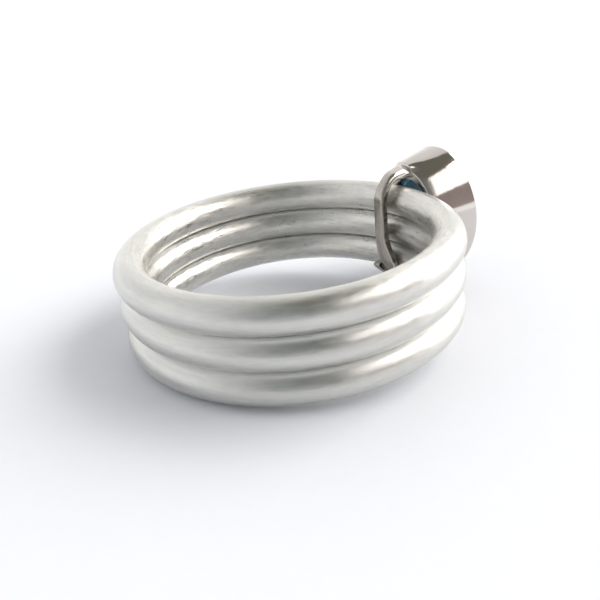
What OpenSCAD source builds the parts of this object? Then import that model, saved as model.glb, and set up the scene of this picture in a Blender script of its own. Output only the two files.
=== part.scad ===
// A finger ring that lies on its side: three stacked bands of round wire, held together by the
// strap of a polished setting. The setting's oval cup holds an aquamarine, and a small diamond
// is set flush in the cup's side. Sizes are millimetres.
//
// Every piece is drawn in the ring's own frame: Z is the axis of the bands, and X points from the
// finger out through the middle of the cup. at_rest() then tips the whole ring the few degrees
// that it leans when it lies on a table, and stands it on Z = 0 with its box centred on the origin.

/* [Bands] */
// Inside diameter of the bands, across the finger
band_inside = 17.25; // [17:0.05:17.5]
// Thickness of the round wire
wire = 2; // [1.9:0.05:2.05]
// Gap between neighbouring bands
band_gap = 0.03; // [0.02:0.01:0.05]

/* [Strap] */
// Width of the strap along most of its length
strap_w = 0.8; // [0.7:0.02:0.9]
// Thickness of the strap
strap_t = 0.46; // [0.4:0.02:0.5]
// Gap between the strap and the finger side of the bands
strap_gap = 0.3; // [0.25:0.01:0.35]
// Clearance between the strap and the top band
strap_over = 0.54; // [0.4:0.02:0.6]
// Clearance between the strap and the bottom band
strap_under = 0.12; // [0.1:0.02:0.14]
// Outer radius of the strap's two bends
strap_bend = 1.9; // [1.86:0.01:1.92]
// How far the strap's foot widens on the side that shows
foot_front = 0.56; // [0.3:0.02:0.6]
// How far the foot's toe stands out on the far side
toe_out = 0.36; // [0.2:0.01:0.4]
// Width of the slit between the foot and its toe
slit_w = 0.12; // [0.08:0.01:0.14]
// Angle at which the strap's shoulder rises to the cup
shoulder_rise = 10; // [8:0.5:10.5]
// Radius of the curves in which the shoulder spreads to the cup
shoulder_spread = 4.2; // [4.1:0.1:5]

/* [Cup] */
// Distance between the bands and the cup's open back
cup_gap = 0.17; // [0.1:0.01:0.3]
// Depth of the cup from its back to its mouth
cup_depth = 3.1; // [3:0.05:3.3]
// Radius of the oval mouth's two tight ends, which sets the size of the mouth
mouth_end_r = 2.93; // [2.85:0.02:3.01]
// How much the wall draws in from the mouth to the back
cup_taper = 1.05; // [1:0.01:1.1]
// How far the wall's outside bulges from a straight cone
cup_bulge = 0.12; // [0.06:0.01:0.15]
// Width of the flat rim round the open back
rim_flat = 0.16; // [0.14:0.01:0.2]
// Thickness of the wall behind that rim
rim_wall = 0.3; // [0.26:0.02:0.32]
// Depth of the ledge below that rim
ledge_low = 0.2; // [0.2:0.02:0.3]
// Distance that the ledge stands in from the back rim's outer edge
ledge_in = 0.62; // [0.5:0.02:0.7]

/* [Stones] */
// Thickness of the lip round the aquamarine's girdle
lip = 0.36; // [0.3:0.02:0.4]
// Gap between the diamond and the metal round it
stone_gap = 0.04; // [0.03:0.01:0.05]
// Gap between the aquamarine and the lip, at the stone's ends and sides
stone_play = 0.1; // [0.1:0.01:0.14]
// Depth of the aquamarine's girdle below the mouth
girdle_below = 0.35; // [0.3:0.05:0.4]
// Height of the aquamarine's crown
crown_h = 0.95; // [0.8:0.05:1.1]
// Depth of the aquamarine's pavilion
pavilion_h = 2.6; // [2.4:0.05:2.65]
// Width of the aquamarine's table, as a share of the stone
table_share = 0.56; // [0.5:0.01:0.62]
// Diameter of the diamond
diamond_d = 1.3; // [1:0.05:1.4]
// Distance of the diamond's middle from the cup's back, along the cup
diamond_along = 1.35; // [1.2:0.05:1.4]

/* [Hidden] */
$fn = 96;

satin_silver = [0.80, 0.80, 0.79];
white_gold = [0.72, 0.70, 0.68];
sea_blue = [0.35, 0.66, 0.76, 0.7];
clear_white = [0.93, 0.96, 0.98, 0.7];

// Bands
wire_r = wire / 2;
band_r = band_inside / 2 + wire_r;
pitch = wire + band_gap;
stack_half = pitch + wire_r;

// Strap, in the plane of the bands' axis and the cup's axis
bar_in = band_inside / 2 - strap_gap - strap_t;
strap_top = stack_half + strap_over + strap_t;
strap_bottom = -(stack_half + strap_under + strap_t);
hole_bend = strap_bend - strap_t;
foot_from = 0.6;
foot_full = -2.8;
far = 6;
slit_deep = 0.3;
slit_from = [0.2, -2.3];
slit_to = [-0.47, -2.6];

// Cup: the oval is four quarter turns, two tight ends and two long sides. Their centres stand at
// one distance from the middle. This distance times the root of 2 ends at its fifth decimal, as
// closely as it can, so that the quarters' faces still match once the numbers are written out.
oval_shift = 1.86906;
quarter = 90;
back_x = band_r + wire_r + cup_gap;
mouth_x = back_x + cup_depth;
side_r = mouth_end_r + oval_shift * sqrt(2);
half_long = mouth_end_r + oval_shift;
half_wide = side_r - oval_shift;

// Cup's wall, as a section: the first number is the distance out from the mouth's outer edge,
// the second is the height above the open back
chord = norm([cup_taper, cup_depth]);
bulge_r = (chord * chord / 4 + cup_bulge * cup_bulge) / (2 * cup_bulge);
chord_tilt = atan2(cup_taper, cup_depth);
chord_mid = [-cup_taper / 2, cup_depth / 2];
bulge_centre = chord_mid - (bulge_r - cup_bulge) * [cos(chord_tilt), -sin(chord_tilt)];
girdle_h = 0.16;
girdle_mid = cup_depth - girdle_below;
seat_slack = 0.02;
seat_in = cup_taper + ledge_in;
seat_low = 1.1;
lip_over = 0.25;
chamfer = rim_wall - rim_flat;
past_wall = 1;

// Shoulder: it starts behind the cup's back, a little lower and narrower than the strap there,
// and ends inside the cup's wall. Its radii are taken from the middle of the oval's tight end.
shoulder_from = -1.35;
shoulder_to = 2.5;
shoulder_deep_to = 1;
shoulder_end_t = 0.2;
shoulder_low_r = 1.75;
shoulder_r = strap_top - 0.04 - oval_shift;
shoulder_end_r = shoulder_r + (shoulder_to - shoulder_from) * tan(shoulder_rise);
shoulder_half = strap_w / 2 - 0.03;
shoulder_turn = 60;

// Distance of the wall's outside from the mouth's outer edge at height h
outside_at = function(h) bulge_centre[0] + sqrt(pow(bulge_r, 2) - pow(h - bulge_centre[1], 2));

// Aquamarine
stone_half_long = half_long - lip - stone_play;
stone_half_wide = half_wide - lip - stone_play;
girdle_x = back_x + girdle_mid;
table_x = girdle_x + girdle_h / 2 + crown_h;

// Diamond, on the cup's hidden side
diamond_r = diamond_d / 2;
diamond_crown = 0.15 * diamond_d;
diamond_girdle = 0.03 * diamond_d;
diamond_pavilion = 0.43 * diamond_d;
diamond_sunk = 0.05;
diamond_y = half_wide + outside_at(diamond_along);
diamond_lean = asin((bulge_centre[1] - diamond_along) / bulge_r);
culet_hole_r = 0.12;

// How the ring lies: the table touches the far side of the bottom band and the lip of the cup
run = band_r + mouth_x;
drop = half_long - pitch;
tilt = atan2(drop, run) - asin(wire_r / norm([run, drop]));
lift = band_r * sin(tilt) + pitch * cos(tilt) + wire_r;
reach_back = pitch * sin(tilt) + band_r * cos(tilt) + wire_r;
reach_lip = mouth_x * cos(tilt) + half_long * sin(tilt);
reach_table = table_x * cos(tilt) + table_share * stone_half_long * sin(tilt);
centre_x = (max(reach_lip, reach_table) - reach_back) / 2;

// Turns a piece from the ring's own frame to the way it lies on a table
module at_rest() {
    translate([-centre_x, 0, lift]) rotate([0, -tilt, 0]) children();
}

// Moves a piece drawn on the cup's own axis, with Z towards the mouth, to its place on the ring
module on_cup() {
    translate([back_x, 0, 0]) rotate([0, 90, 0]) children();
}

// One band of round wire, its middle at height z
module band(z) {
    color(satin_silver)
        at_rest()
            translate([0, 0, z])
                rotate_extrude()
                    translate([band_r, 0]) circle(wire_r);
}

// A rectangle from low to high with its two corners on the low X side rounded
module rounded_end(low, high, r) {
    translate(low + [r, r]) circle(r);
    translate([low[0] + r, high[1] - r]) circle(r);
    translate(low + [0, r]) square([r, high[1] - low[1] - 2 * r]);
    translate([low[0] + r, low[1]]) square([high[0] - low[0] - r, high[1] - low[1]]);
}

// The strap from the side: a bar on the finger side, two bends and two legs that reach into the cup
module strap_side() {
    leg_end = back_x + seat_low - 0.25;
    difference() {
        rounded_end([bar_in, strap_bottom], [leg_end, strap_top], strap_bend);
        rounded_end([bar_in + strap_t, strap_bottom + strap_t], [far * 3, strap_top - strap_t], hole_bend);
    }
}

// The strap from the finger: its near edge runs out to the foot, its far edge draws in above the toe
module strap_front() {
    half = strap_w / 2;
    toe = half + toe_out;
    polygon([
        [half, far],
        [half, 0.3],
        [half - 0.09, -1.3],
        [half - 0.26, -1.95],
        [half - 0.2, -2.12],
        [toe - 0.03, -2.15],
        [toe, -2.35],
        [toe - 0.06, -2.55],
        [toe - 0.19, -2.75],
        [toe - 0.36, -2.95],
        [toe - 0.36, -far],
        [-half - foot_front, -far],
        [-half - foot_front, foot_full],
        [-half, foot_from],
        [-half, far]
    ]);
}

// The slit in the foot's finger side, above the toe
module toe_slit() {
    run = slit_to - slit_from;
    translate([bar_in - 1, slit_from[0], slit_from[1]])
        rotate([atan2(run[1], run[0]), 0, 0])
            translate([0, 0, -slit_w / 2]) cube([1 + slit_deep, norm(run), slit_w]);
}

module strap() {
    difference() {
        intersection() {
            translate([0, far / 2, 0]) rotate([90, 0, 0]) linear_extrude(far) strap_side();
            rotate([90, 0, 90]) linear_extrude(far * 3) strap_front();
        }
        toe_slit();
    }
}

// The shoulder from above: it leaves the strap's two edges in long hollow curves
module shoulder_plan() {
    difference() {
        translate([back_x + shoulder_from - 0.1, -far / 2]) square([shoulder_to - shoulder_from + 0.2, far]);
        for (side = [-1, 1])
            translate([back_x + shoulder_from - 0.15, side * (shoulder_half + shoulder_spread)])
                circle(shoulder_spread, $fn = 360);
    }
}

// The shoulder joins the strap to the cup, and is curved across like the end of the oval
module shoulder() {
    intersection() {
        on_cup()
            translate([-oval_shift, 0, 0])
                rotate_extrude(start = 180 - shoulder_turn, angle = 2 * shoulder_turn)
                    polygon([
                        [shoulder_low_r, shoulder_from],
                        [shoulder_r, shoulder_from],
                        [shoulder_end_r, shoulder_to],
                        [shoulder_end_r - shoulder_end_t, shoulder_to],
                        [shoulder_low_r, shoulder_deep_to]
                    ]);
        translate([0, 0, oval_shift]) linear_extrude(far) shoulder_plan();
    }
}

// Section of the cup's wall, bulged outside, with the lip, the seat and the stepped back rim inside
module cup_section() {
    intersection() {
        translate(bulge_centre) circle(bulge_r, $fn = 360);
        polygon([
            [past_wall, 0],
            [past_wall, cup_depth],
            [-lip - lip_over, cup_depth],
            [-lip, girdle_mid + girdle_h / 2 + seat_slack],
            [-lip, girdle_mid - girdle_h / 2 - seat_slack],
            [-seat_in, seat_low],
            [-seat_in, ledge_low],
            [-cup_taper - rim_wall, ledge_low],
            [-cup_taper - rim_wall, chamfer],
            [-cup_taper - rim_flat, 0]
        ]);
    }
}

// A quarter turn of the section at radius r, from angle a
module cup_quarter(r, a) {
    rotate_extrude(start = a, angle = quarter) translate([r, 0]) cup_section();
}

// The section swept round the oval's four arcs
module cup() {
    for (side = [0, 180])
        rotate([0, 0, side]) {
            translate([oval_shift, 0, 0]) cup_quarter(mouth_end_r, -quarter / 2);
            translate([0, -oval_shift, 0]) cup_quarter(side_r, quarter / 2);
        }
}

// Moves a piece drawn with Z out through a diamond's table to the cup's hidden side
module on_cup_side() {
    translate([back_x + diamond_along, diamond_y, 0])
        rotate([0, 0, diamond_lean]) rotate([-90, 0, 0]) children();
}

// The hole that takes the diamond: straight round the girdle, then a cone under the pavilion
module diamond_seat() {
    r = diamond_r + stone_gap;
    girdle_low = -diamond_sunk - diamond_crown - diamond_girdle - stone_gap;
    rotate_extrude()
        polygon([
            [0, 0.5],
            [r, 0.5],
            [r, girdle_low],
            [culet_hole_r, girdle_low - diamond_pavilion * (1 - culet_hole_r / r)],
            [culet_hole_r, -2],
            [0, -2]
        ]);
}

module setting() {
    color(white_gold)
        at_rest()
            difference() {
                union() {
                    on_cup() cup();
                    strap();
                    shoulder();
                }
                on_cup_side() diamond_seat();
            }
}

// A point on an oval ring of a cut stone, a and b being its half sizes and share the part of them
function oval_point(a, b, share, angle, z) = [a * share * cos(angle), b * share * sin(angle), z];

// A brilliant cut: a table of 8 sides, 8 star, 8 kite and 16 upper facets, a girdle of 16 sides,
// then 16 lower facets and 8 mains that meet at the culet. Z = 0 is the middle of the girdle.
module brilliant(a, b, crown, girdle, pavilion, table) {
    eighth = 360 / 8;
    half_step = eighth / 2;
    star_share = 0.78;
    lower_share = 0.26;
    top = girdle / 2 + crown;
    girdle_top = girdle / 2;
    girdle_foot = -girdle / 2;
    culet = girdle_foot - pavilion;
    star_z = top - crown * (star_share * cos(half_step) - table) / (1 - table);
    lower_z = culet + pavilion * lower_share * cos(half_step);
    points = concat(
        [for (i = [0:7]) oval_point(a, b, table, i * eighth, top)],
        [for (i = [0:7]) oval_point(a, b, star_share, (i + 0.5) * eighth, star_z)],
        [for (i = [0:15]) oval_point(a, b, 1, i * half_step, girdle_top)],
        [for (i = [0:15]) oval_point(a, b, 1, i * half_step, girdle_foot)],
        [for (i = [0:7]) oval_point(a, b, lower_share, (i + 0.5) * eighth, lower_z)],
        [[0, 0, culet]]
    );
    table_at = function(i) (i + 8) % 8;
    star_at = function(i) 8 + (i + 8) % 8;
    upper_at = function(i) 16 + (i + 16) % 16;
    under_at = function(i) 32 + (i + 16) % 16;
    lower_at = function(i) 48 + (i + 8) % 8;
    culet_at = 56;
    faces = concat(
        [[for (i = [7:-1:0]) i]],
        [for (i = [0:7]) [table_at(i), table_at(i + 1), star_at(i)]],
        [for (i = [0:7]) [table_at(i), star_at(i), upper_at(2 * i), star_at(i - 1)]],
        [for (i = [0:7]) [star_at(i), upper_at(2 * i + 1), upper_at(2 * i)]],
        [for (i = [0:7]) [star_at(i), upper_at(2 * i + 2), upper_at(2 * i + 1)]],
        [for (i = [0:15]) [upper_at(i), upper_at(i + 1), under_at(i + 1), under_at(i)]],
        [for (i = [0:7]) [under_at(2 * i), under_at(2 * i + 1), lower_at(i)]],
        [for (i = [0:7]) [under_at(2 * i + 1), under_at(2 * i + 2), lower_at(i)]],
        [for (i = [0:7]) [under_at(2 * i), lower_at(i), culet_at, lower_at(i - 1)]]
    );
    polyhedron(points, faces);
}

module aquamarine() {
    color(sea_blue)
        at_rest()
            on_cup()
                translate([0, 0, girdle_mid])
                    brilliant(stone_half_long, stone_half_wide, crown_h, girdle_h, pavilion_h, table_share);
}

module diamond() {
    sink = diamond_sunk + diamond_crown + diamond_girdle / 2;
    color(clear_white)
        at_rest()
            on_cup_side()
                translate([0, 0, -sink])
                    brilliant(diamond_r, diamond_r, diamond_crown, diamond_girdle, diamond_pavilion, 0.57);
}

band(pitch);  // band_top
band(0);  // band_middle
band(-pitch);  // band_bottom
setting();
aquamarine();
diamond();
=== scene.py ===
"""Looks of the stacked silver ring with the aquamarine cup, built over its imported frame.

Sizes are millimetres in the ring's own frame, where Z is the axis of the bands and X points out
through the middle of the cup. lay_down() takes a finished mesh to metres and to the way that the
ring lies on the table.
"""

from math import atan2, asin, cos, hypot, pi, radians, sin, sqrt, tan

import bmesh
import bpy
from mathutils import Matrix, Vector


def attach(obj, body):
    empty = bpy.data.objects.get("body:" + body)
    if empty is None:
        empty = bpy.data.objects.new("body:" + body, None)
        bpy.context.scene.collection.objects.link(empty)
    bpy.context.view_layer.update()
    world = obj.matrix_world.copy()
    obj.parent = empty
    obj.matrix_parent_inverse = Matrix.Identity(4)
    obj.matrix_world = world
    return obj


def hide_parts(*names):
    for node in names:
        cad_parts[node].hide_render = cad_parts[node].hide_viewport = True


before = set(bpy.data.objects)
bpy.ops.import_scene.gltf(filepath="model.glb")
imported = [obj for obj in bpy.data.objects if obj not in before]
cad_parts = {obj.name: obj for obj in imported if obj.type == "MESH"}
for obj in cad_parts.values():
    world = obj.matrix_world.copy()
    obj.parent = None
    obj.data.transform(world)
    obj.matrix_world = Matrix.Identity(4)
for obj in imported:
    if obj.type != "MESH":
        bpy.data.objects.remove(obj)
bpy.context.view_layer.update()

# Sizes that repeat the part's source
BAND_INSIDE = 17.25
WIRE_R = 1.0
BAND_R = BAND_INSIDE / 2 + WIRE_R
PITCH = 2 * WIRE_R + 0.03
STACK_HALF = PITCH + WIRE_R
STRAP_T = 0.46
BAR_GAP = 0.3
STRAP_OVER = 0.54
STRAP_UNDER = 0.12
BAR_IN = BAND_INSIDE / 2 - BAR_GAP - STRAP_T
STRAP_TOP = STACK_HALF + STRAP_OVER + STRAP_T
STRAP_BOTTOM = -(STACK_HALF + STRAP_UNDER + STRAP_T)
STRAP_BEND = 1.9
SHOULDER_RISE = 10.0
CUP_GAP = 0.17
BACK_X = BAND_R + WIRE_R + CUP_GAP
CUP_DEPTH = 3.1
MOUTH_END_R = 2.93
OVAL_SHIFT = 1.86906
CUP_TAPER = 1.05
CUP_BULGE = 0.12
RIM_FLAT = 0.16
RIM_WALL = 0.3
LEDGE_LOW = 0.2
SEAT_IN = CUP_TAPER + 0.62
SEAT_LOW = 1.1
LIP = 0.36
LIP_OVER = 0.25
GIRDLE_DEEP = 0.35
GIRDLE_MID = CUP_DEPTH - GIRDLE_DEEP
GIRDLE_H = 0.16
SEAT_SLACK = 0.02
STONE_PLAY = 0.1
CROWN_H = 0.95
TABLE_SHARE = 0.56
STONE_GAP = 0.04
DIAMOND_R = 0.65
DIAMOND_ALONG = 1.35
DIAMOND_SUNK = 0.05
DIAMOND_CROWN = 0.195
DIAMOND_GIRDLE = 0.039
DIAMOND_PAVILION = 0.559
DIAMOND_FOOT = -(DIAMOND_SUNK + DIAMOND_CROWN + DIAMOND_GIRDLE + STONE_GAP)
DIAMOND_SEAT_R = DIAMOND_R + STONE_GAP
CULET_HOLE_R = 0.12
HALF_LONG = MOUTH_END_R + OVAL_SHIFT
HALF_WIDE = MOUTH_END_R + OVAL_SHIFT * (sqrt(2) - 1)
MOUTH_X = BACK_X + CUP_DEPTH

# The soft forms that only this script has, and the painted shade along the slit as it is seen
TOE_OUT = 0.12
TOE_TOP = -2.3
SLIT_START_Y, SLIT_START_Z = 0.283, -2.303
SLIT_RUN_Y, SLIT_RUN_Z = -0.7, -0.714
SLIT_LONG = 0.64
SLIT_HALF = 0.065
SHOULDER_FAR_END = 2.9
SHOULDER_NEAR_END = 2.4
SHOULDER_FAR_LIFT = 0.54
SHOULDER_NEAR_LIFT = 0.46
CUP_ROUNDING = 0.06
BACK_CHAMFER = 0.05
MERGE_DIST = 1e-4

# How the ring lies, as the part's source works it out
RUN = BAND_R + MOUTH_X
DROP = HALF_LONG - PITCH
TILT = atan2(DROP, RUN) - asin(WIRE_R / hypot(RUN, DROP))
LIFT = BAND_R * sin(TILT) + PITCH * cos(TILT) + WIRE_R
TABLE_X = BACK_X + GIRDLE_MID + GIRDLE_H / 2 + CROWN_H
STONE_LONG = HALF_LONG - LIP - STONE_PLAY
REACH_BACK = PITCH * sin(TILT) + BAND_R * cos(TILT) + WIRE_R
REACH_TABLE = TABLE_X * cos(TILT) + TABLE_SHARE * STONE_LONG * sin(TILT)
CENTRE_X = (REACH_TABLE - REACH_BACK) / 2
MM = 0.001
AT_REST = (
    Matrix.Scale(MM, 4)
    @ Matrix.Translation((-CENTRE_X, 0, LIFT))
    @ Matrix.Rotation(-TILT, 4, "Y")
)
ON_CUP = Matrix.Translation((BACK_X, 0, 0)) @ Matrix.Rotation(pi / 2, 4, "Y")


# Making and finishing meshes


def lay_down(bm, name, material):
    """Takes a mesh drawn in the ring's frame to its place on the table, and makes it an object."""
    bmesh.ops.remove_doubles(bm, verts=bm.verts, dist=MERGE_DIST)
    bmesh.ops.recalc_face_normals(bm, faces=bm.faces)
    bmesh.ops.transform(bm, matrix=AT_REST, verts=bm.verts)
    mesh = bpy.data.meshes.new(name)
    bm.to_mesh(mesh)
    bm.free()
    mesh.materials.append(material)
    piece = bpy.data.objects.new(name, mesh)
    bpy.context.scene.collection.objects.link(piece)
    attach(piece, "root")
    return piece


def smooth(bm, sharp_degrees):
    """Shades all faces smooth, apart from the edges that turn more than an angle."""
    for face in bm.faces:
        face.smooth = True
    limit = radians(sharp_degrees)
    for edge in bm.edges:
        edge.smooth = len(edge.link_faces) == 2 and edge.calc_face_angle(0) < limit


def outline(bm, points):
    """Joins points to a closed wire, and gives back its vertices and edges."""
    verts = [bm.verts.new(p) for p in points]
    edges = [bm.edges.new((a, b)) for a, b in zip(verts, verts[1:] + verts[:1])]
    return verts, edges


def arc(centre, radius, start, end, steps):
    """Points on an arc, with angles in degrees."""
    angles = [radians(start + (end - start) * k / steps) for k in range(steps + 1)]
    return [(centre[0] + radius * cos(a), centre[1] + radius * sin(a)) for a in angles]


# Bands


def make_band(name, node, height, material):
    """A closed hoop of round wire at its height in the stack."""
    bm = bmesh.new()
    ring = arc((BAND_R, height), WIRE_R, 0, 360, 48)[:-1]
    verts, edges = outline(bm, [(x, 0, z) for x, z in ring])
    bmesh.ops.spin(
        bm, geom=verts + edges, cent=(0, 0, 0), axis=(0, 0, 1), angle=2 * pi, steps=240,
        use_merge=True,
    )
    smooth(bm, 60)
    piece = lay_down(bm, name, material)
    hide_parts(node)


# Setting


def cup_curve():
    """The radius and the centre of the slight curve of the cup's outside."""
    chord = hypot(CUP_TAPER, CUP_DEPTH)
    bulge_r = (chord * chord / 4 + CUP_BULGE**2) / (2 * CUP_BULGE)
    lean = atan2(CUP_TAPER, CUP_DEPTH)
    centre = (
        -CUP_TAPER / 2 - (bulge_r - CUP_BULGE) * cos(lean),
        CUP_DEPTH / 2 + (bulge_r - CUP_BULGE) * sin(lean),
    )
    return bulge_r, centre


def cup_section():
    """The wall's section as distance out from the mouth's outer edge and height above the back."""
    bulge_r, centre = cup_curve()
    steps = 24
    outside = []
    for k in range(steps + 1):
        h = CUP_DEPTH * k / steps
        outside.append((centre[0] + sqrt(bulge_r**2 - (h - centre[1]) ** 2), h))
    inside = [
        (-LIP - LIP_OVER, CUP_DEPTH),
        (-LIP, GIRDLE_MID + GIRDLE_H / 2 + SEAT_SLACK),
        (-LIP, GIRDLE_MID - GIRDLE_H / 2 - SEAT_SLACK),
        (-SEAT_IN, SEAT_LOW),
        (-SEAT_IN, LEDGE_LOW),
        (-CUP_TAPER - RIM_WALL, LEDGE_LOW),
        (-CUP_TAPER - RIM_FLAT, 0),
    ]
    return outside + inside


def ease(share):
    """A smooth step from 0 to 1."""
    share = min(max(share, 0), 1)
    return share * share * (3 - 2 * share)


def raise_shoulder(bm):
    """Draws the wall's outside at the oval's top end up to the strap, most on the far side. The
    raised part spreads and sinks away towards the mouth."""
    centre = Vector((-OVAL_SHIFT, 0))
    for vert in bm.verts:
        down, y, height = vert.co
        out = Vector((down, y)) - centre
        if out[0] > -abs(y) or height > SHOULDER_FAR_END:
            continue
        wall = MOUTH_END_R - CUP_TAPER + CUP_TAPER * height / CUP_DEPTH
        outside = min(max((out.length - wall + 0.14) / 0.1, 0), 1)
        far_end = min(0.75 + 2.8 * height, 1.45 + 0.5 * height)
        near_end = 0.6 + 0.8 * min(height, 1)
        far_lift = SHOULDER_FAR_LIFT * max(0, 1 - height / SHOULDER_FAR_END) ** 1.5
        far_lift *= ease((far_end - y) / 0.8)
        near_lift = SHOULDER_NEAR_LIFT * max(0, 1 - height / SHOULDER_NEAR_END) ** 1.7
        near_lift *= ease((near_end + y) / (near_end - 0.15))
        lift = near_lift + (far_lift - near_lift) * ease((y + 0.3) / 0.6)
        out = centre + out.normalized() * (out.length + lift * outside)
        vert.co = (out[0], out[1], height)


def drill_seat(bm):
    """Drills the diamond's seat and the small hole under it into the cup's far side."""
    bulge_r, centre = cup_curve()
    rise = centre[1] - DIAMOND_ALONG
    side_y = HALF_WIDE + centre[0] + sqrt(bulge_r**2 - rise**2)
    on_side = (
        Matrix.Translation((BACK_X + DIAMOND_ALONG, side_y, 0))
        @ Matrix.Rotation(asin(rise / bulge_r), 4, "Z")
        @ Matrix.Rotation(-pi / 2, 4, "X")
    )
    cone = DIAMOND_PAVILION * (1 - CULET_HOLE_R / DIAMOND_SEAT_R)
    profile = [
        (0, 0.5), (DIAMOND_SEAT_R, 0.5), (DIAMOND_SEAT_R, DIAMOND_FOOT),
        (CULET_HOLE_R, DIAMOND_FOOT - cone), (CULET_HOLE_R, -2), (0, -2),
    ]
    drill = bmesh.new()
    verts = [drill.verts.new((r, 0, z)) for r, z in profile]
    edges = [drill.edges.new(pair) for pair in zip(verts, verts[1:])]
    bmesh.ops.spin(
        drill, geom=verts + edges, cent=(0, 0, 0), axis=(0, 0, 1), angle=2 * pi, steps=48,
        use_merge=True,
    )
    bmesh.ops.remove_doubles(drill, verts=drill.verts, dist=MERGE_DIST)
    bmesh.ops.transform(drill, matrix=on_side, verts=drill.verts)
    tools = []
    for shape, name in ((bm, "undrilled"), (drill, "drill")):
        bmesh.ops.recalc_face_normals(shape, faces=shape.faces)
        mesh = bpy.data.meshes.new(name)
        shape.to_mesh(mesh)
        tools.append(bpy.data.objects.new(name, mesh))
        bpy.context.scene.collection.objects.link(tools[-1])
    drill.free()
    cut = tools[0].modifiers.new("seat", "BOOLEAN")
    cut.operation, cut.solver, cut.object = "DIFFERENCE", "EXACT", tools[1]
    bpy.context.view_layer.update()
    drilled = tools[0].evaluated_get(bpy.context.evaluated_depsgraph_get()).to_mesh()
    bm.clear()
    bm.from_mesh(drilled)
    for tool in tools:
        bpy.data.objects.remove(tool)


def make_cup(material):
    """Sweeps the section round the oval's four quarter turns."""
    bm = bmesh.new()
    start = Matrix.Translation((OVAL_SHIFT, 0, 0)) @ Matrix.Rotation(-pi / 4, 4, "Z")
    points = [start @ Vector((MOUTH_END_R + q, 0, h)) for q, h in cup_section()]
    verts, edges = outline(bm, points)
    geom = verts + edges
    for centre in ((OVAL_SHIFT, 0), (0, -OVAL_SHIFT), (-OVAL_SHIFT, 0), (0, OVAL_SHIFT)):
        swept = bmesh.ops.spin(
            bm, geom=geom, cent=(*centre, 0), axis=(0, 0, 1), angle=pi / 2, steps=32
        )
        geom = swept["geom_last"]
    bmesh.ops.remove_doubles(bm, verts=bm.verts, dist=MERGE_DIST)
    bmesh.ops.recalc_face_normals(bm, faces=bm.faces)
    crisp = [e for e in bm.edges if len(e.link_faces) == 2 and e.calc_face_angle(0) > radians(20)]
    bmesh.ops.bevel(
        bm, geom=crisp, offset=CUP_ROUNDING, offset_type="OFFSET", segments=3, profile=0.5,
        affect="EDGES", material=-1, clamp_overlap=True,
    )
    raise_shoulder(bm)
    bmesh.ops.transform(bm, matrix=ON_CUP, verts=bm.verts)
    drill_seat(bm)
    smooth(bm, 50)
    piece = lay_down(bm, "cup", material)
    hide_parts("setting")


def between(table, place):
    """Reads a table of (place, value) pairs, in rising order, with straight runs between them."""
    if place <= table[0][0]:
        return table[0][1]
    for (a, low), (b, high) in zip(table, table[1:]):
        if place <= b:
            return low + (high - low) * (place - a) / (b - a)
    return table[-1][1]


def strap_line():
    """The strap's outer line from the cup over the top band, down and back under the bottom one.

    Each entry is a point, the direction out of the metal there, and the strap's thickness.
    """
    rise = radians(SHOULDER_RISE)
    underside = [(9.4, STRAP_TOP - STRAP_T), (9.9, 3.4), (BACK_X, 3.35)]
    middle_x = BAR_IN + STRAP_BEND
    top, low = STRAP_TOP - STRAP_BEND, STRAP_BOTTOM + STRAP_BEND
    turn_x = middle_x - STRAP_BEND * sin(rise)
    turn_z = top + STRAP_BEND * cos(rise)
    raised = [(8.6, 0.0), (9.2, 0.11), (10.3, 0.1), (BACK_X, 0.0)]
    line = []
    for k in range(9):
        x = BACK_X + 0.5 - (BACK_X + 0.5 - turn_x) * k / 9
        dip = 0.5 * max(0, x - BACK_X)
        z = turn_z + (x - turn_x) * tan(rise) - dip + between(raised, x)
        line.append((x, z, -sin(rise), cos(rise), z - between(underside, x)))
    for k in range(15):
        a = radians(90 + SHOULDER_RISE + (90 - SHOULDER_RISE) * k / 15)
        x = middle_x + STRAP_BEND * cos(a)
        z = top + STRAP_BEND * sin(a) + between(raised, x)
        line.append((x, z, cos(a), sin(a), STRAP_T + between(raised, x)))
    for k in range(12):
        line.append((BAR_IN, top + (low - top) * k / 12, -1, 0, STRAP_T))
    for k in range(19):
        a = radians(180 + 90 * k / 18)
        x, z = middle_x + STRAP_BEND * cos(a), low + STRAP_BEND * sin(a)
        line.append((x, z, cos(a), sin(a), STRAP_T))
    for k in range(1, 5):
        line.append((middle_x + (BACK_X + 0.8 - middle_x) * k / 4, STRAP_BOTTOM, 0, -1, STRAP_T))
    return line


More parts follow.
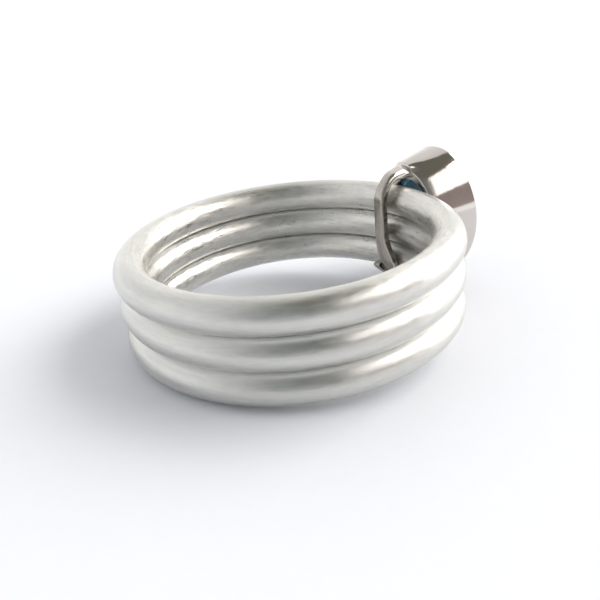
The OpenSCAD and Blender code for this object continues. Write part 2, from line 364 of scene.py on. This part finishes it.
def strip(bm, line, near_edge, far_edge, near_round, far_round, crown, droop):
    """Lofts a strip along a line. Its two edges, the radius of their rounding on the outer face,
    how much that face is crowned and how far its near edge droops change along the line."""
    rows = []
    for x, z, out_x, out_z, thick in line:
        near, far = near_edge(x, z), far_edge(x, z)
        most = (far - near) / 3
        near_r, far_r = min(near_round(x, z), most), min(far_round(x, z), most)
        turns = [radians(angle) for angle in (90, 60, 30, 0)]
        ring = [((near + far) / 2, 0)]
        ring += [(far - far_r + far_r * cos(t), far_r - far_r * sin(t)) for t in turns]
        ring += [(far, thick - BACK_CHAMFER), (far - BACK_CHAMFER, thick)]
        ring += [((near + far) / 2, thick)]
        ring += [(near + BACK_CHAMFER, thick), (near, thick - BACK_CHAMFER)]
        ring += [(near + near_r - near_r * cos(t), near_r - near_r * sin(t)) for t in turns[::-1]]
        row = []
        for y, depth in ring:
            sunk = depth + crown(x, z) * (y - (near + far) / 2) ** 2
            sunk += droop(x, z) * (far - y) / (far - near) * (1 - depth / thick)
            row.append(bm.verts.new((x - out_x * sunk, y, z - out_z * sunk)))
        rows.append([bm.edges.new((a, b)) for a, b in zip(row, row[1:] + row[:1])])
    for one, other in zip(rows, rows[1:]):
        bmesh.ops.bridge_loops(bm, edges=one + other)
    for row in (rows[0], rows[-1]):
        bmesh.ops.edgeloop_fill(bm, edges=row)


def make_strap(material):
    """The strap, half round at its shoulder, and the toe below the slit in its foot."""
    near_heights = [
        (-3.5, -0.7), (-2.8, -1.1), (-1.95, -1.0), (-1.4, -0.76), (-0.9, -0.56), (0.3, -0.43),
        (1.0, -0.43),
    ]
    far_heights = [
        (-3.2, -0.3), (-2.85, -0.3), (-2.74, -0.1), (-2.3, 0.42), (-2.0, 0.42), (-1.6, 0.5),
        (-1.1, 0.54), (0.3, 0.5), (2.6, 0.46), (3.6, 0.42),
    ]
    toe_near = [(-3.2, -0.6), (-2.95, -0.55), (-2.8, -0.26), (-2.34, 0.24), (-2.2, 0.36)]
    toe_far = [
        (-3.3, 0.4), (-3.1, 0.62), (-2.95, 0.78), (-2.77, 0.88), (-2.55, 0.9), (-2.4, 0.8),
        (-2.3, 0.66),
    ]
    near_round = [(-1.0, 0.08), (2.0, 0.16), (3.2, 0.28)]
    far_round = [(-1.0, 0.14), (2.0, 0.12), (3.2, 0.1)]
    crowns = [(-2.6, 0.3), (-1.5, 0.5), (0.5, 0.25), (2.0, 0.3), (3.8, 0.2)]
    droops = [(8.6, 0.0), (9.2, 0.11), (9.5, 0.11), (10.3, 0.25), (BACK_X, 0.48), (11.3, 0.7)]
    line = strap_line()
    bm = bmesh.new()
    strip(
        bm, line,
        lambda x, z: between(near_heights, z), lambda x, z: between(far_heights, z),
        lambda x, z: between(near_round, z), lambda x, z: between(far_round, z),
        lambda x, z: between(crowns, z), lambda x, z: between(droops, x) if z > 0 else 0,
    )
    below = [
        (x + TOE_OUT * out_x, z + TOE_OUT * out_z, out_x, out_z, thick + TOE_OUT)
        for x, z, out_x, out_z, thick in line if z < TOE_TOP
    ]
    strip(
        bm, below,
        lambda x, z: between(toe_near, z), lambda x, z: between(toe_far, z),
        lambda x, z: 0.06, lambda x, z: 0.1, lambda x, z: 0.2, lambda x, z: 0,
    )
    smooth(bm, 180)
    piece = lay_down(bm, "strap", material)
    rounding = piece.modifiers.new("rounding", "SUBSURF")
    rounding.levels = rounding.render_levels = 2
    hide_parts("setting")


# Materials


class Wired:
    """A shader value that adds Math nodes when it is used in an expression."""

    def __init__(self, shader, socket):
        self.shader = shader
        self.socket = socket

    def _math(self, operation, *values):
        inputs = dict(enumerate(values))
        return self.shader.node("ShaderNodeMath", {"operation": operation}, inputs)

    def __add__(self, other):
        return self._math("ADD", self, other)

    __radd__ = __add__

    def __sub__(self, other):
        return self._math("SUBTRACT", self, other)

    def __rsub__(self, other):
        return self._math("SUBTRACT", other, self)

    def __mul__(self, other):
        return self._math("MULTIPLY", self, other)

    __rmul__ = __mul__

    def __truediv__(self, other):
        return self._math("DIVIDE", self, other)

    def __pow__(self, other):
        return self._math("POWER", self, other)

    def clamped(self):
        return self._math("MINIMUM", self._math("MAXIMUM", self, 0.0), 1.0)


class Nodes:
    """A node tree and the nodes that are added to it."""

    def __init__(self, owner):
        owner.use_nodes = True
        self.tree = owner.node_tree

    def node(self, kind, settings=None, inputs=None, output=0):
        made = self.tree.nodes.new(kind)
        for key, value in (settings or {}).items():
            if key == "stops":
                ramp = made.color_ramp.elements
                while len(ramp) < len(value):
                    ramp.new(0.5)
                for stop, (place, colour) in zip(ramp, value):
                    stop.position = place
                    stop.color = (*colour, 1) if isinstance(colour, tuple) else (*[colour] * 3, 1)
            else:
                setattr(made, key, value)
        for key, value in (inputs or {}).items():
            self.feed(made.inputs[key], value)
        return Wired(self, made.outputs[output])

    def feed(self, socket, value):
        if isinstance(value, Wired):
            self.tree.links.new(value.socket, socket)
        elif isinstance(value, tuple) and len(value) == 3 and len(socket.default_value) == 4:
            socket.default_value = (*value, 1)
        else:
            socket.default_value = value

    def ramp(self, place, stops):
        """Colours along a value. A single number is a grey."""
        return self.node("ShaderNodeValToRGB", {"stops": stops}, {"Fac": place})

    def ring_place(self):
        """Where a point is in the ring's own frame, in millimetres."""
        coords = self.node("ShaderNodeTexCoord", output=3)
        return self.node(
            "ShaderNodeMapping",
            {"vector_type": "TEXTURE"},
            {
                "Vector": coords,
                "Location": (-CENTRE_X * MM, 0, LIFT * MM),
                "Rotation": (0, -TILT, 0),
                "Scale": (MM, MM, MM),
            },
        )

    def size_of(self, value):
        """A value without its sign."""
        return self.node("ShaderNodeMath", {"operation": "ABSOLUTE"}, {0: value})

    def split(self, vector):
        made = self.node("ShaderNodeSeparateXYZ", None, {"Vector": vector})
        return [Wired(self, made.socket.node.outputs[k]) for k in range(3)]

    def join(self, x, y, z):
        return self.node("ShaderNodeCombineXYZ", None, {"X": x, "Y": y, "Z": z})

    def noise(self, vector, scale, detail=2.0, roughness=0.5, w=None):
        settings = {"noise_dimensions": "3D" if w is None else "4D"}
        inputs = {"Vector": vector, "Scale": scale, "Detail": detail, "Roughness": roughness}
        if w is not None:
            inputs["W"] = w
        return self.node("ShaderNodeTexNoise", settings, inputs)

    def mix(self, factor, a, b, blend="MIX"):
        settings = {"data_type": "RGBA", "blend_type": blend}
        made = self.node("ShaderNodeMix", settings, {"Factor": factor}, output=2)
        self.feed(made.socket.node.inputs[6], a)
        self.feed(made.socket.node.inputs[7], b)
        return made


class Shader(Nodes):
    """One material, whose surface takes the values that are set."""

    def __init__(self, name):
        self.material = bpy.data.materials.new(name)
        super().__init__(self.material)
        self.surface = next(n for n in self.tree.nodes if n.type == "BSDF_PRINCIPLED")

    def set(self, **values):
        for key, value in values.items():
            self.feed(self.surface.inputs[key.replace("_", " ")], value)

    def bump(self, height, strength, distance):
        normal = self.node(
            "ShaderNodeBump", None,
            {"Height": height, "Strength": strength, "Distance": distance},
        )
        self.set(Normal=normal)


def satin_silver():
    """Silver wire brushed lengthwise with fine abrasive: broken hair lines and soft streaks, which
    are stronger on the finger side. The finger side's colour is also painted lighter as painted
    light, and the shade in the crease where two wires meet is painted over with a lighter colour."""
    s = Shader("satin_silver")
    x, y, z = s.split(s.ring_place())
    reach = (x * x + y * y) ** 0.5
    turn = [x / reach, y / reach]
    # How strongly the wire is brushed, and how much lighter its colour is painted as painted
    # light: most on the finger side.
    rubbed_and_painted_shading = 0.45 + 0.55 * ((BAND_R + 0.5 - reach) * 1.2).clamped()
    hair = s.noise(s.join(turn[0] * 16, turn[1] * 16, reach * 7), 1.0, 1.0, 0.5, w=z * 7)
    streak = s.noise(s.join(turn[0] * 3, turn[1] * 3, reach * 3), 1.0, 2.0, 0.5, w=z * 3 + 7)
    cloud = s.noise(s.join(x, y, z), 0.5, 2.0, 0.5)
    # Painted light: on the finger side the tone is painted lighter, as well as more streaked.
    tone = (0.3 + ((hair - 0.5) * 1.5 + (streak - 0.5) * 1.4 + 0.45) * rubbed_and_painted_shading).clamped()
    colour = s.mix(tone, (0.535, 0.543, 0.53), (0.755, 0.742, 0.70))
    # Painted light: the colour turns lighter towards the crease where two wires meet, filling in
    # its shade.
    from_joint = s.size_of(s.size_of(z) - PITCH / 2)
    colour = s.mix((1 - from_joint / 0.32).clamped(), colour, (0.92, 0.92, 0.90))
    roughness = 0.35 + ((hair - 0.5) * 0.35 + (cloud - 0.5) * 0.3) * rubbed_and_painted_shading
    s.set(
        Base_Color=colour, Roughness=roughness, Metallic=1.0, Anisotropic=0.6,
        Anisotropic_Rotation=0.25,
    )
    s.bump((hair * 0.5 + streak * 0.6) * rubbed_and_painted_shading, 0.7, 0.000055)
    return s.material


def white_gold():
    """Polished white gold with the faint haze of a buffing wheel. The bar inside the finger hole
    is rougher and streaked from wear, and painted darker as shade; its near side is painted dark
    as shade and a highlight is painted along its lower near edge. A painted shadow fills the
    foot's slit."""
    s = Shader("white_gold")
    place = s.ring_place()
    x, y, z = s.split(place)
    haze = s.noise(place, 0.9, 3.0, 0.5)
    lines = s.noise(s.join(x * 4, y * 9, z * 1.6), 1.0, 4.0, 0.6)
    patch = s.noise(place, 2.2, 3.0, 0.55)
    # Wear on the bar inside the finger hole: rougher and streaked, and also painted darker as
    # shade.
    wear_and_shade = ((9.7 - x) / 1.3 + (patch - 0.5) * 0.9).clamped()
    colour = s.mix(haze, (0.58, 0.543, 0.515), (0.655, 0.616, 0.588))
    # The bar's colour: streaked from wear, and darker as painted shade.
    rubbed_and_painted_shading = s.mix(lines, (0.31, 0.287, 0.255), (0.58, 0.545, 0.495))
    on_bar = ((8.5 - x) * 8).clamped()
    from_y, from_z = y - SLIT_START_Y, z - SLIT_START_Z
    along = from_y * SLIT_RUN_Y + from_z * SLIT_RUN_Z
    off = s.size_of(from_y * -SLIT_RUN_Z + from_z * SLIT_RUN_Y)
    ends = ((along + 0.04) * 12).clamped() * ((SLIT_LONG + 0.04 - along) * 12).clamped()
    # Painted shadow: the slit in the foot is painted near black, and made rougher.
    slit_shade = ((1 - off / SLIT_HALF) * 3).clamped() * ends * on_bar
    edge = y + 0.38 + ((-0.6 - z) / 1.5).clamped() * 0.62
    # Painted highlight: a bright line along the bar's lower near edge.
    arris_highlight = (1 - s.size_of(edge) / 0.055).clamped() * (z * -2 - 0.4).clamped() * on_bar
    # Painted shade: the strap's near side face is painted dark, with a mottle.
    side = (edge * -25).clamped() * wear_and_shade
    painted_side_shade = s.mix(((patch - 0.35) * 3).clamped(), (0.12, 0.108, 0.095), (0.40, 0.355, 0.31))
    colour = s.mix(side, s.mix(wear_and_shade, colour, rubbed_and_painted_shading), painted_side_shade)
    colour = s.mix(arris_highlight, colour, (0.8, 0.73, 0.68))
    colour = s.mix(slit_shade, colour, (0.02, 0.018, 0.015))
    roughness = 0.05 + haze * 0.05 + lines * 0.03 + wear_and_shade * (0.06 + lines * 0.14) + slit_shade * 0.5
    s.set(Base_Color=colour, Roughness=roughness, Metallic=1.0)
    s.bump(lines, 0.1 + wear_and_shade * 0.3, 0.00003)
    return s.material


def aquamarine_stone():
    """Clear sea-blue beryl with faint zones; below the girdle it is painted near black as shade.
    """
    s = Shader("aquamarine_stone")
    place = s.ring_place()
    zones = s.noise(place, 0.6, 2.0, 0.5)
    # Painted shade: the pavilion below the girdle is painted near black.
    pavilion_shade = ((BACK_X + GIRDLE_MID - 0.1 - s.split(place)[0]) * 4).clamped()
    pale = s.mix(zones, (0.36, 0.62, 0.71), (0.46, 0.72, 0.80))
    colour = s.mix(pavilion_shade, pale, s.mix(zones, (0.001, 0.004, 0.007), (0.004, 0.011, 0.016)))
    s.set(Base_Color=colour, Roughness=0.0, IOR=1.577, Transmission_Weight=1.0)
    return s.material


def diamond_stone():
    s = Shader("diamond_stone")
    zones = s.noise(s.ring_place(), 1.5, 2.0, 0.5)
    colour = s.mix(zones, (0.94, 0.96, 0.98), (0.99, 0.99, 1.0))
    s.set(Base_Color=colour, Roughness=0.0, IOR=2.417, Transmission_Weight=1.0)
    return s.material


def table_top():
    """A plain pale table with a very slight tooth."""
    s = Shader("table_top")
    place = s.node("ShaderNodeTexCoord", output=3)
    tooth = s.noise(place, 900.0, 3.0, 0.6)
    colour = s.mix(tooth, (0.83, 0.855, 0.91), (0.86, 0.88, 0.93))
    s.set(Base_Color=colour, Roughness=0.6)
    return s.material


def dress_stone(node, material):
    """Puts the finish on a CAD stone, whose facets are flat as they are."""
    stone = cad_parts[node]
    stone.data.materials.clear()
    stone.data.materials.append(material)


# Camera at the photo's angle


def make_camera():
    data = bpy.data.cameras.new("camera")
    camera = bpy.data.objects.new("camera", data)
    bpy.context.scene.collection.objects.link(camera)
    data.sensor_width = 36
    data.lens = 38.33
    data.clip_start = 0.001
    data.clip_end = 20
    place = Vector((-25.050, -29.565, 18.156)) * MM
    forward = Vector((0.57165, 0.71680, -0.39926)).normalized()
    roll = radians(-2.955)
    level = forward.cross(Vector((0, 0, 1))).normalized()
    upright = level.cross(forward)
    right = level * cos(roll) + upright * sin(roll)
    up = right.cross(forward)
    turned = Matrix((right, up, -forward)).transposed().to_4x4()
    camera.matrix_world = Matrix.Translation(place) @ turned
    bpy.context.scene.camera = camera


# Table and light


def make_table(material):
    bm = bmesh.new()
    bmesh.ops.create_circle(bm, cap_ends=True, segments=96, radius=0.15)
    mesh = bpy.data.meshes.new("table")
    bm.to_mesh(mesh)
    bm.free()
    mesh.materials.append(material)
    table = bpy.data.objects.new("table", mesh)
    bpy.context.scene.collection.objects.link(table)


def soft_light(name, place, aim, width, height, power, colour):
    data = bpy.data.lights.new(name, "AREA")
    data.shape = "RECTANGLE"
    data.size = width
    data.size_y = height
    data.energy = power
    data.color = colour
    light = bpy.data.objects.new(name, data)
    bpy.context.scene.collection.objects.link(light)
    light.location = place
    away = Vector(place) - Vector(aim)
    light.rotation_mode = "QUATERNION"
    light.rotation_quaternion = away.to_track_quat("Z", "Y")


def studio_walls():
    """Soft light from the room: white walls behind and at the sides, a dim grey one in front on
    the left, a dim pinkish one in front on the right, and a dim ceiling. The white table goes on
    to the walls."""
    world = bpy.data.worlds.new("studio")
    bpy.context.scene.world = world
    n = Nodes(world)
    x, y, z = n.split(n.node("ShaderNodeTexCoord"))
    turn = n.node("ShaderNodeMath", {"operation": "ARCTAN2"}, {0: x, 1: y * -1.0})
    round_room = turn / (2 * pi) + 0.5
    height = n.node("ShaderNodeMath", {"operation": "ARCSINE"}, {0: z}) / (pi / 2)
    walls = n.ramp(round_room, [
        (0.0, (0.95, 0.95, 0.95)),
        (0.05, (0.82, 0.82, 0.83)),
        (0.15, (0.92, 0.92, 0.93)),
        (0.22, (0.78, 0.78, 0.79)),
        (0.30, (0.44, 0.45, 0.455)),
        (0.36, (0.235, 0.26, 0.26)),
        (0.47, (0.235, 0.235, 0.225)),
        (0.50, (0.34, 0.285, 0.268)),
        (0.68, (0.335, 0.285, 0.27)),
        (0.78, (0.90, 0.89, 0.87)),
        (0.82, (1.0, 0.99, 0.98)),
        (0.965, (1.0, 0.99, 0.98)),
        (1.0, (0.95, 0.95, 0.95)),
    ])
    fall = n.ramp(height, [
        (0.0, 1.05), (0.22, 0.92), (0.45, 0.84), (0.62, 0.76), (0.80, (0.66, 0.66, 0.65)),
        (1.0, 0.60),
    ])
    light = n.mix(1.0, walls, fall, "MULTIPLY")
    ceiling = n.ramp(round_room, [
        (0.0, 0.80), (0.40, 0.78), (0.47, 0.655), (0.78, 0.655), (0.83, 0.75), (0.87, 0.80),
        (1.0, 0.80),
    ])
    light = n.mix(((height - ceiling) * 20).clamped(), light, (0.155, 0.152, 0.124))
    horizon = n.ramp(round_room, [
        (0.0, 0.085), (0.19, 0.085), (0.25, 0.0), (0.45, 0.0), (0.49, 0.085),
    ])
    light = n.mix(((horizon - z) * 50).clamped(), light, (1.05, 1.05, 1.05))
    n.feed(n.tree.nodes["Background"].inputs["Color"], light)
    n.feed(n.tree.nodes["Background"].inputs["Strength"], 1.24)


def window(name, left, right, low, high, radiance, colour, away=3.0):
    """An upright pane of soft light that faces the ring, given by the degrees that it covers."""
    middle = radians((left + right) / 2)
    half = away * tan(radians((right - left) / 2))
    bottom, top = away * tan(radians(low)), away * tan(radians(high))
    place = Vector((away * sin(middle), -away * cos(middle), (bottom + top) / 2))
    power = radiance * pi * 2 * half * (top - bottom)
    soft_light(name, place, Vector((0, 0, place[2])), 2 * half, top - bottom, power, colour)


def make_light():
    studio_walls()
    window("window_left", -5, 29, 30, 58, 1.65, (1.0, 0.99, 0.97))
    window("window_middle", 29, 48, 30, 58, 4.7, (1.0, 0.98, 0.95))
    window("window_right", 48, 98, 30, 58, 4.7, (1.0, 0.98, 0.95))
    window("window_sill", 48, 98, 4, 30, 2.8, (1.0, 0.98, 0.95))
    view = bpy.context.scene.view_settings
    view.view_transform = "Standard"
    view.look = "None"


make_camera()
silver = satin_silver()
gold = white_gold()
make_band("wire_top", "band_top", PITCH, silver)
make_band("wire_middle", "band_middle", 0.0, silver)
make_band("wire_bottom", "band_bottom", -PITCH, silver)
make_cup(gold)
make_strap(gold)
dress_stone("aquamarine", aquamarine_stone())
dress_stone("diamond", diamond_stone())
make_table(table_top())
make_light()
